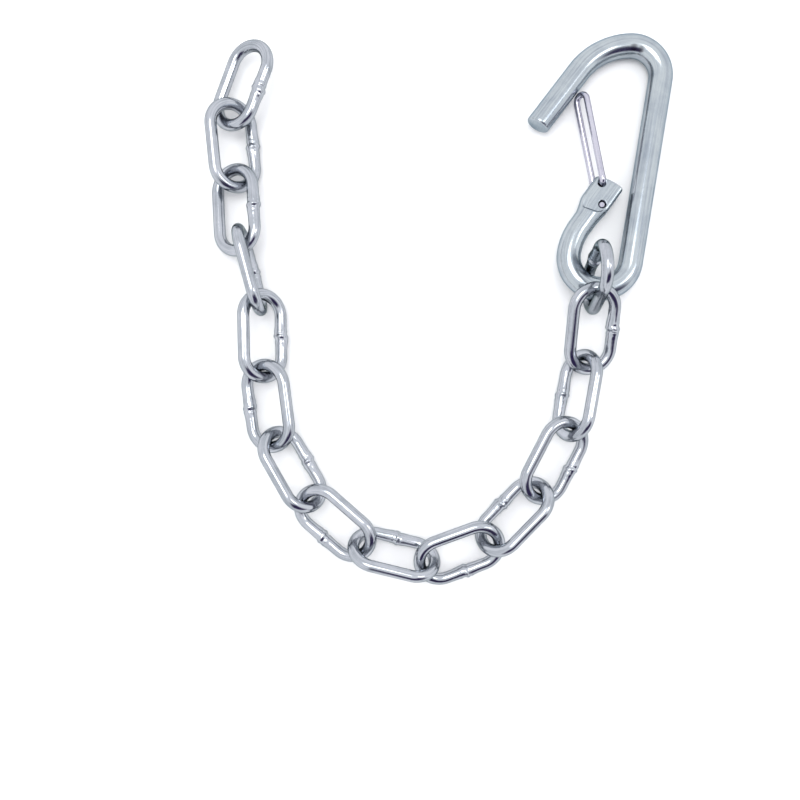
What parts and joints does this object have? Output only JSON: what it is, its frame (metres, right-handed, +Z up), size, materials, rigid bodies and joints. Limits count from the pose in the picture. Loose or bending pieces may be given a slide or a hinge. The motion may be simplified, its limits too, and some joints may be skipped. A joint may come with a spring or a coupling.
{
  "type": "safety chain with latched hook",
  "caption": "Zinc-plated trailer safety chain: welded links on the lower eye of a bent round-bar hook whose mouth is closed by a sprung wire latch.",
  "frame": {"origin": "centre of the bounding box on the surface the chain and hook lie on", "axes": "+Z up from that surface, +Y towards the top of the hook, +X towards the side of the chain that carries the hook"},
  "size_m": [0.1969, 0.2338, 0.0389],
  "materials": {
    "zinc_bar": "bright zinc plate, smooth",
    "zinc_wire": "bright zinc plate on spring wire",
    "zinc_link": "bright zinc plate on welded chain"
  },
  "bodies": {
    "hook_body": {"hook": "zinc_bar", "latch_foot_front": "zinc_wire", "latch_foot_back": "zinc_wire"},
    "latch_body": {"latch_loop": "zinc_wire"},
    "link_01_body": {"link_01": "zinc_link"},
    "link_02_body": {"link_02": "zinc_link"},
    "link_03_body": {"link_03": "zinc_link"},
    "link_04_body": {"link_04": "zinc_link"},
    "link_05_body": {"link_05": "zinc_link"},
    "link_06_body": {"link_06": "zinc_link"},
    "link_07_body": {"link_07": "zinc_link"},
    "link_08_body": {"link_08": "zinc_link"},
    "link_09_body": {"link_09": "zinc_link"},
    "link_10_body": {"link_10": "zinc_link"},
    "link_11_body": {"link_11": "zinc_link"},
    "link_12_body": {"link_12": "zinc_link"},
    "link_13_body": {"link_13": "zinc_link"},
    "link_14_body": {"link_14": "zinc_link"},
    "link_15_body": {"link_15": "zinc_link"}
  },
  "joints": [
    {"name": "latch_swing", "type": "hinge", "parent": "hook_body", "child": "latch_body", "pos_m": [0.06721, 0.04743, 0.00851], "axis": [-0.0092, -0.0521, -0.9986], "range_deg": [0, 33], "stiffness_Nm_per_rad": 0.15, "springref_deg": -17.19},
    {"name": "link_01_swing", "type": "hinge", "parent": "hook_body", "child": "link_01_body", "pos_m": [0.06271, 0.00826, 0.01059], "axis": [0.9572, -0.2893, 0.0063], "range_deg": [-5, 60]},
    {"name": "link_02_swing", "type": "hinge", "parent": "link_01_body", "child": "link_02_body", "pos_m": [0.06301, 0.00711, 0.01981], "axis": [-0.9763, -0.0375, 0.2133], "range_deg": [0, 60]},
    {"name": "link_03_swing", "type": "hinge", "parent": "link_02_body", "child": "link_03_body", "pos_m": [0.06014, -0.01992, 0.00946], "axis": [0.5336, -0.0321, 0.8451], "range_deg": [-60, 60]},
    {"name": "link_04_swing", "type": "hinge", "parent": "link_03_body", "child": "link_04_body", "pos_m": [0.05352, -0.05396, 0.01235], "axis": [0.5336, -0.0321, 0.8451], "range_deg": [-60, 60]},
    {"name": "link_05_swing", "type": "hinge", "parent": "link_04_body", "child": "link_05_body", "pos_m": [0.0392, -0.07976, 0.01089], "axis": [-0.8269, 0.4047, 0.3905], "range_deg": [-60, 20]},
    {"name": "link_06_swing", "type": "hinge", "parent": "link_05_body", "child": "link_06_body", "pos_m": [0.02393, -0.0971, 0.0106], "axis": [0.3214, -0.883, -0.342], "range_deg": [-20, 45]},
    {"name": "link_07_swing", "type": "hinge", "parent": "link_06_body", "child": "link_07_body", "pos_m": [-0.00877, -0.109, 0.0106], "axis": [-0.3214, 0.883, 0.342], "range_deg": [-45, 60]},
    {"name": "link_08_swing", "type": "hinge", "parent": "link_07_body", "child": "link_08_body", "pos_m": [-0.03148, -0.10184, 0.01149], "axis": [-0.5995, -0.7074, -0.3744], "range_deg": [-10, 60]},
    {"name": "link_09_swing", "type": "hinge", "parent": "link_08_body", "child": "link_09_body", "pos_m": [-0.05774, -0.07902, 0.01041], "axis": [0.5995, 0.7074, 0.3744], "range_deg": [-60, 10]},
    {"name": "link_10_swing", "type": "hinge", "parent": "link_09_body", "child": "link_10_body", "pos_m": [-0.07071, -0.05865, 0.00949], "axis": [0.9086, 0.0959, 0.4064], "range_deg": [-50, 60]},
    {"name": "link_11_swing", "type": "hinge", "parent": "link_10_body", "child": "link_11_body", "pos_m": [-0.07495, -0.02414, 0.01081], "axis": [0.9086, 0.0959, 0.4064], "range_deg": [-60, 10]},
    {"name": "link_12_swing", "type": "hinge", "parent": "link_11_body", "child": "link_12_body", "pos_m": [-0.07528, 0.00538, 0.01092], "axis": [0.7659, 0.0178, -0.6428], "range_deg": [-60, 0]},
    {"name": "link_13_swing", "type": "hinge", "parent": "link_12_body", "child": "link_13_body", "pos_m": [-0.08465, 0.03227, 0.01204], "axis": [-0.0009, 0.0034, 1], "range_deg": [-60, 50]},
    {"name": "link_14_swing", "type": "hinge", "parent": "link_13_body", "child": "link_14_body", "pos_m": [-0.08757, 0.05836, 0.00781], "axis": [0.8936, 0.1056, 0.4363], "range_deg": [-35, 60]},
    {"name": "link_15_swing", "type": "hinge", "parent": "link_14_body", "child": "link_15_body", "pos_m": [-0.08921, 0.08557, 0.01009], "axis": [0.8324, 0.1079, -0.5435], "range_deg": [-60, 30]}
  ]
}
